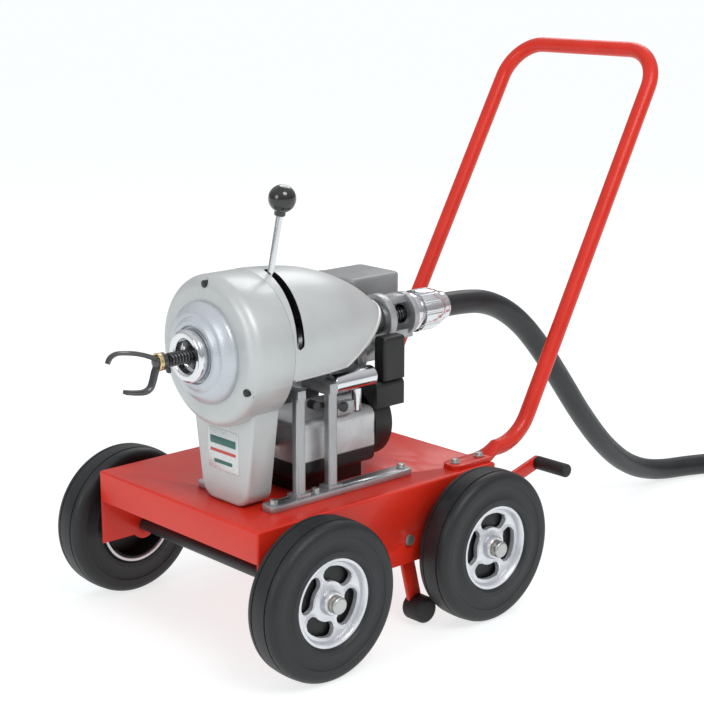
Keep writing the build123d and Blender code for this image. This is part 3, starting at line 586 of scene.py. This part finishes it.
def claw(name, path, widths, thicks):
    """A flat curved blade in the cutter's plane along a path of (x, z) from the hub, tapering to its tip."""
    bm = bmesh.new()
    rows = []
    count = len(path)
    for k, (x, z) in enumerate(path):
        before = Vector(path[max(0, k - 1)])
        after = Vector(path[min(count - 1, k + 1)])
        along = (after - before).normalized()
        out = Vector((-along.y, along.x))
        t = k / (count - 1)
        wide = widths[0] + (widths[1] - widths[0]) * t
        thick = thicks[0] + (thicks[1] - thicks[0]) * t
        row = []
        for a, b in BLADE_SECTION:
            spot = Vector((x, z)) + out * (b * thick / 2)
            row.append(bm.verts.new((spot.x, SPINDLE_Y + a * wide / 2, spot.y)))
        rows.append(row)
    for here, there in zip(rows, rows[1:]):
        for i in range(8):
            j = (i + 1) % 8
            bm.faces.new((here[i], here[j], there[j], there[i]))
    bm.faces.new(rows[0])
    bm.faces.new(list(reversed(rows[-1])))
    return smooth(to_mesh(name, bm), 40)


def cutter():
    """The cutter: a turned hub with a brass collar, a hooked upper claw and a folded lower claw."""
    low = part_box("cutter_head")[0]
    hub_x = low.x - 0.001
    hub = [(0, 0.0), (0, 0.0115), (0.002, 0.013), (0.009, 0.013), (0.011, 0.0105), (0.017, 0.0095),
           (0.019, 0.006), (0.019, 0.0)]
    mesh = lathe("cutter_hub", hub, (hub_x, SPINDLE_Y, SPINDLE_Z), (1, 0, 0), steps=48, closed=False)
    new_piece("cutter_hub", mesh, "spindle", "spring_steel", "cutter_head")
    collar = [(0.0095, 0.0105), (0.0095, 0.0135), (0.0145, 0.0135), (0.0155, 0.0125), (0.0155, 0.0105)]
    mesh = lathe("cutter_collar", collar, (hub_x, SPINDLE_Y, SPINDLE_Z), (1, 0, 0), steps=48)
    new_piece("cutter_collar", mesh, "spindle", "spring_steel", material="brass")
    forward = Vector((low.x + 0.004, SPINDLE_Z))
    hooked = [(0, 0), (12, 6), (28, 13), (46, 19), (66, 23), (80, 24), (90, 20), (95, 12)]
    folded = [(0, 0), (8, -5), (13, -14), (17, -26), (22, -36), (32, -40.5), (48, -39), (66, -35)]
    upper = smooth_path(hooked, forward)
    lower = smooth_path(folded, forward)
    new_piece("cutter_claw_upper", claw("cutter_claw_upper", upper, (0.012, 0.011), (0.0085, 0.0028)),
              "spindle", "spring_steel")
    new_piece("cutter_claw_lower", claw("cutter_claw_lower", lower, (0.012, 0.012), (0.0085, 0.006)),
              "spindle", "spring_steel")


# ---------------------------------------------------------------- hood, flange, plate and knob
HOOD_FRONT = 161.6  # millimetres ahead of the cart's middle
HOOD_MOUTH = 44.0  # the hem rises behind this
HOOD_REAR = -97.0
HEM_LOW = 441.0  # millimetres above the floor
HEM_RISE = 64.0 / 151.0
BELL_RADIUS = 116  # millimetres


def hood_radius(x):
    """The hood's outer radius at a distance ahead of the cart's middle, in millimetres."""
    stations = [
        (170, BELL_RADIUS), (141.6, BELL_RADIUS), (80, 110.5), (42, 103), (3, 90), (-38, 71),
        (-70, 51), (-97, 30), (-106, 20),
    ]
    for (x1, r1), (x0, r0) in zip(stations, stations[1:]):
        if x >= x0:
            break
    i = stations.index((x0, r0))
    before = stations[max(0, i - 2)]
    after = stations[min(len(stations) - 1, i + 1)]
    slope1 = (r0 - before[1]) / (x0 - before[0]) if i > 1 else 0.0
    slope0 = (after[1] - r1) / (after[0] - x1)
    t = (x - x1) / (x0 - x1)
    span = x0 - x1
    return ((2 * t ** 3 - 3 * t * t + 1) * r1 + (t ** 3 - 2 * t * t + t) * span * slope1
            + (3 * t * t - 2 * t ** 3) * r0 + (t ** 3 - t * t) * span * slope0)


def hood_hem(x):
    """How high the hood's lower edge is at a place along it, in millimetres above the floor."""
    return HEM_LOW + max(0.0, HOOD_MOUTH - x) * HEM_RISE


def hood_point(x, part, inset=0.0):
    """A point of the hood's skin: part runs from 0 at the left hem, over the top, to 1 at the right hem."""
    r = hood_radius(x) - inset
    low = math.asin(max(-0.999, min(0.999, (hood_hem(x) - SPINDLE_Z * 1000) / r)))
    angle = low + (math.pi - 2 * low) * part
    return at(x, SPINDLE_Y * 1000 + r * math.cos(angle), SPINDLE_Z * 1000 + r * math.sin(angle))


LEVER_X = 134
LEVER_ANGLE = 76
LEVER_PITCH = 0.24  # millimetres along the spindle for each degree


def slot_cutter():
    """A solid along the clutch lever's helical slot, with round ends, to cut the hood with."""
    bm = bmesh.new()
    rings = []
    half = 7.5
    first, last = 83.0, 5.0
    inner, outer = 100, 128
    hub = at(0, SPINDLE_Y * 1000, SPINDLE_Z * 1000)
    steps = 48
    for k in range(steps + 1):
        angle = first + (last - first) * k / steps
        arc = min(first - angle, angle - last) * math.pi / 180 * BELL_RADIUS + 0.05
        width = half if arc > half else math.sqrt(half ** 2 - (half - arc) ** 2)
        x = LEVER_X + (LEVER_ANGLE - angle) * LEVER_PITCH
        out = Vector((0, math.cos(math.radians(angle)), math.sin(math.radians(angle))))
        rings.append([bm.verts.new(hub + Vector(((x + w) / 1000, 0, 0)) + out * r / 1000)
                      for w, r in ((-width, inner), (width, inner), (width, outer), (-width, outer))])
    for here, there in zip(rings, rings[1:]):
        for i in range(4):
            bm.faces.new((here[i], here[(i + 1) % 4], there[(i + 1) % 4], there[i]))
    bm.faces.new(rings[0])
    bm.faces.new(rings[-1])
    cutter = bpy.data.objects.new("slot_cutter", to_mesh("slot_cutter", bm))
    bpy.context.scene.collection.objects.link(cutter)
    return cutter


def hood():
    """The tapered cast hood, its inner skin and the slot's cut walls painted black as painted shade, with the
    lever's slot and a rolled rim round its open end that is painted lighter as a painted highlight.
    """
    along, around, wall = 60, 88, 5.0
    bm = bmesh.new()
    skins = []
    for inset in (0.0, wall):
        grid = []
        for i in range(along + 1):
            x = HOOD_FRONT + (HOOD_REAR - HOOD_FRONT) * i / along
            grid.append([bm.verts.new(hood_point(x, k / around, inset)) for k in range(around + 1)])
        skins.append(grid)
    outer, inside = skins
    for i in range(along):
        for k in range(around):
            bm.faces.new((outer[i][k], outer[i][k + 1], outer[i + 1][k + 1], outer[i + 1][k]))
            # The inner skin takes black plastic as painted shade.
            face = bm.faces.new((inside[i][k], inside[i + 1][k], inside[i + 1][k + 1], inside[i][k + 1]))
            face.material_index = 1
    for k in range(around):
        for i in (0, along):
            bm.faces.new((outer[i][k], outer[i][k + 1], inside[i][k + 1], inside[i][k]))
    for i in range(along):
        for k in (0, around):
            bm.faces.new((outer[i][k], outer[i + 1][k], inside[i + 1][k], inside[i][k]))
    mesh = to_mesh("hood_shell", bm)
    mesh.materials.append(MATERIALS["grey_paint"])
    mesh.materials.append(MATERIALS["black_plastic"])
    whole = bpy.data.objects.new("hood_whole", mesh)
    bpy.context.scene.collection.objects.link(whole)
    cutter = slot_cutter()
    cut = whole.modifiers.new("slot", "BOOLEAN")
    cut.object = cutter
    cut.solver = "EXACT"
    # The cutter is given black plastic for the slot's cut walls, as painted shade.
    cutter.data.materials.append(MATERIALS["black_plastic"])
    bpy.context.view_layer.update()
    final = bpy.data.meshes.new_from_object(whole.evaluated_get(bpy.context.evaluated_depsgraph_get()))
    final.name = "hood_shell"
    bpy.data.objects.remove(whole)
    bpy.data.objects.remove(cutter)
    shell = bpy.data.objects.new("hood_shell", smooth(final, 40))
    bpy.context.scene.collection.objects.link(shell)
    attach(shell, MACHINE)
    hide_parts("hood")
    tail, bead, count = HOOD_REAR + 2, 1.5, 24
    stations = [HOOD_MOUTH + (tail - HOOD_MOUTH) * i / count for i in range(count + 1)]
    left = [hood_point(x, 0.0, bead) for x in stations]
    top = [hood_point(tail, k / count, bead) for k in range(1, count)]
    right = [hood_point(x, 1.0, bead) for x in reversed(stations)]
    # The rolled rim is painted lighter than the hood as a painted highlight along its open end.
    new_piece("hood_rim", wire("hood_rim", left + top + right, 0.0038, order=3), MACHINE, "grey_paint",
              material="lit_rim_bead")
    hems = [[hood_point(x, side, bead) for x in (158, 120, 82, 44)] for side in (0.0, 1.0)]
    for side, points in zip(("left", "right"), hems):
        new_piece(f"hood_hem_{side}", wire(f"hood_hem_{side}", points, 0.003, order=3), MACHINE, "grey_paint")


def front_flange():
    """The machined flange on the bell: a shallow cone with a turned step and a recess for the chuck."""
    low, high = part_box("front_flange")
    thick = high.x - low.x
    cone = [(0.0, 0.0265), (0.0, 0.0775), (0.004, 0.078), (0.0075, 0.0765), (0.013, 0.0705), (0.017, 0.0655),
            (0.0185, 0.0625), (0.0185, 0.0575), (0.0195, 0.0565), (thick, 0.0505), (thick, 0.0445),
            (thick - 0.004, 0.0425), (thick - 0.004, 0.0265)]
    mesh = lathe("flange_cone", cone, (low.x, SPINDLE_Y, SPINDLE_Z), (1, 0, 0), steps=144)
    new_piece("flange_cone", mesh, MACHINE, "flange_paint", "front_flange")


def rounded_plate(name, x, y_half, z_low, z_high, thick, corner, middle_y):
    """A thin plate with round corners on a face that looks forward, at x."""
    bm = bmesh.new()
    outline = []
    for cy, cz, start in ((y_half - corner, z_high - corner, 0), (-y_half + corner, z_high - corner, 90),
                          (-y_half + corner, z_low + corner, 180), (y_half - corner, z_low + corner, 270)):
        for k in range(6):
            a = math.radians(start + 18 * k)
            outline.append((cy + corner * math.cos(a), cz + corner * math.sin(a)))
    back = [bm.verts.new(at(x, middle_y + y, z)) for y, z in outline]
    lip = [bm.verts.new(at(x + thick * 0.6, middle_y + y, z)) for y, z in outline]
    middle_z = (z_low + z_high) / 2
    shrink = 0.985
    face = [bm.verts.new(at(x + thick, middle_y + y * shrink, middle_z + (z - middle_z) * shrink))
            for y, z in outline]
    count = len(outline)
    for a, b in ((back, lip), (lip, face)):
        for i in range(count):
            bm.faces.new((a[i], a[(i + 1) % count], b[(i + 1) % count], b[i]))
    bm.faces.new(face)
    bm.faces.new(list(reversed(back)))
    return smooth(to_mesh(name, bm), 30)


def rating_plate():
    """A blank plate on the leg with two plain coloured bars in place of any lettering."""
    front = (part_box("front_cover")[1].x - SHIFT) * 1000 - 30.0
    middle = SPINDLE_Y * 1000
    new_piece("blank_plate", rounded_plate("blank_plate", front, 37, 286, 352, 0.9, 5, middle), MACHINE,
              "grey_paint", material="label_plate")
    bars = (("label_green", 327, 339, 31), ("label_red", 314, 319, 31), ("label_green", 297, 303, 22))
    for name, low, high, half in bars:
        bar = f"plate_bar_{low}"
        new_piece(bar, rounded_plate(bar, front + 0.8, half, low, high, 0.35, 1.5, middle), MACHINE,
                  "grey_paint", material=name)


def ball_knob():
    """The moulded ball on the clutch lever, with its neck and the flat at its crown."""
    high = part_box("ball_knob")[1]
    radius = 0.021
    middle = Vector((centre("ball_knob").x, high.y - radius, high.z - radius))
    down = Vector((0, SPINDLE_Y - middle.y, SPINDLE_Z - middle.z)).normalized()
    outline = [(-0.0196, 0.0), (-0.0196, 0.006)]
    for degrees in range(20, 156, 5):
        angle = math.radians(degrees)
        outline.append((-radius * math.cos(angle), radius * math.sin(angle)))
    outline += [(0.0205, 0.0088), (0.0255, 0.0086), (0.026, 0.008), (0.026, 0.0052)]
    mesh = lathe("ball_grip", outline, middle, down, steps=64, closed=False)
    new_piece("ball_grip", mesh, "clutch_lever", "knob_plastic", "ball_knob")


spiral()
cutter()
hood()
front_flange()
rating_plate()
ball_knob()
